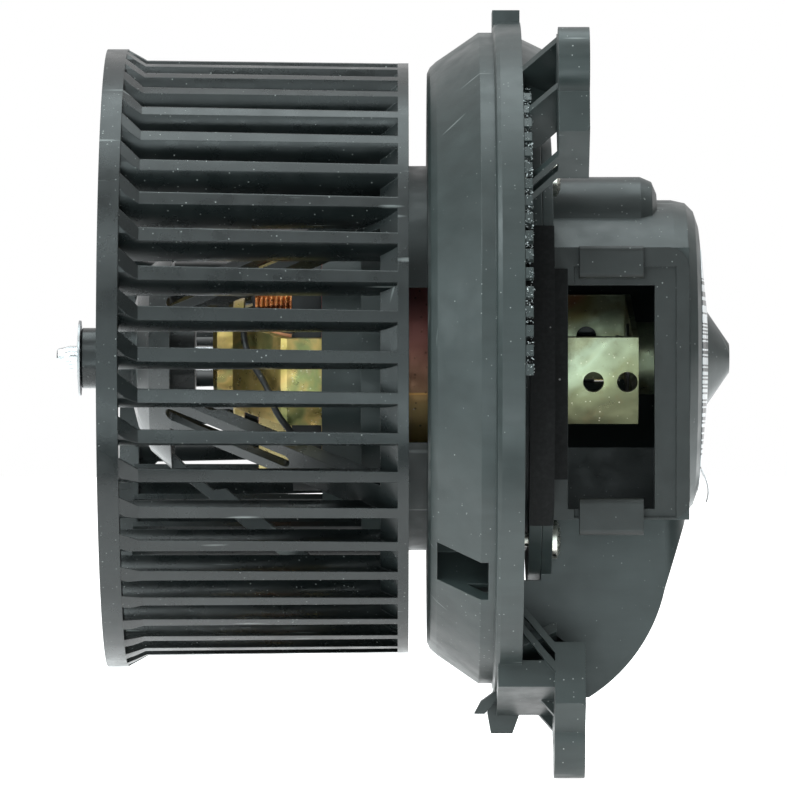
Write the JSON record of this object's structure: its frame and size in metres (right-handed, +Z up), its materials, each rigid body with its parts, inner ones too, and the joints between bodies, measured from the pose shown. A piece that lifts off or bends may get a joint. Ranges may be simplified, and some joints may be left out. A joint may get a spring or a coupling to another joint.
{
  "type": "heater blower motor wheel",
  "caption": "Squirrel-cage blower wheel on a brushed motor, carried by a moulded mounting flange with screw ears and a ducted rear cover.",
  "frame": {"origin": "on the shaft axis, in the plane of the flange ring's front face that seats on the heater casing", "axes": "+X along the shaft from the wheel towards the motor's rear cover, +Z up towards the handling lug, -Y towards the side window"},
  "size_m": [0.1633, 0.1827, 0.1849],
  "materials": {
    "housing_plastic": "semi-gloss moulded, charcoal black",
    "wheel_plastic": "semi-gloss moulded, charcoal black, dusty",
    "card_plastic": "matt moulded",
    "connector_plastic": "matt moulded",
    "core_plastic": "matt moulded phenolic",
    "screw_steel": "bright zinc plated",
    "label_paper": "silvered satin",
    "can_steel": "yellow zinc plated, reddish iridescence",
    "zinc_steel": "yellow zinc plated, iridescent",
    "spring_steel": "bright",
    "shaft_steel": "ground bright",
    "lamination_steel": "stacked edges, dull",
    "ferrite": "matt sintered",
    "isolator_rubber": "matt",
    "bronze": "matt sintered",
    "brass": "satin",
    "copper_wire": "enamelled, glossy",
    "commutator_copper": "turned, worn track",
    "lead_insulation": "satin insulation",
    "insulator_fibre": "matt fibre board",
    "washer_nylon": "satin",
    "carbon": "matt graphite"
  },
  "bodies": {
    "housing": {"flange_housing": "housing_plastic", "rear_cover": "housing_plastic", "side_cover": "housing_plastic", "cover_screws": "screw_steel", "rating_label": "label_paper", "motor_can": "can_steel", "front_bracket": "zinc_steel", "rear_bracket": "zinc_steel", "magnet_near": "ferrite", "magnet_far": "ferrite", "magnet_clips": "spring_steel", "front_isolator": "isolator_rubber", "rear_isolator": "isolator_rubber", "front_bearing": "bronze", "rear_bearing": "bronze", "front_bearing_retainer": "spring_steel", "rear_bearing_retainer": "spring_steel", "brush_card": "card_plastic", "brush_box_upper": "brass", "brush_box_lower": "brass", "brush_spring_upper": "spring_steel", "brush_spring_lower": "spring_steel", "choke_cores": "ferrite", "choke_coils": "copper_wire", "lead_positive": "lead_insulation", "lead_negative": "lead_insulation", "connector_housing": "connector_plastic", "terminal_positive": "brass", "terminal_negative": "brass"},
    "rotor": {"shaft": "shaft_steel", "fan_wheel": "wheel_plastic", "push_nut": "spring_steel", "lamination_stack": "lamination_steel", "armature_windings": "copper_wire", "front_end_insulator": "insulator_fibre", "rear_end_insulator": "insulator_fibre", "commutator_core": "core_plastic", "commutator_bars": "commutator_copper", "front_thrust_washer": "washer_nylon", "rear_thrust_washer": "washer_nylon"},
    "brush_upper": {"brush_upper": "carbon"},
    "brush_lower": {"brush_lower": "carbon"}
  },
  "joints": [
    {"name": "wheel_spin", "type": "hinge", "parent": "housing", "child": "rotor", "pos_m": [0, 0, 0], "axis": [-1, 0, 0], "continuous": true},
    {"name": "brush_upper_slide", "type": "slide", "parent": "housing", "child": "brush_upper", "axis": [0, 0, 1], "range_m": [0, 0.0035], "stiffness_N_per_m": 120, "springref_m": -0.004, "deforming": ["brush_spring_upper"]},
    {"name": "brush_lower_slide", "type": "slide", "parent": "housing", "child": "brush_lower", "axis": [0, 0, -1], "range_m": [0, 0.0035], "stiffness_N_per_m": 120, "springref_m": -0.004, "deforming": ["brush_spring_lower"]}
  ]
}
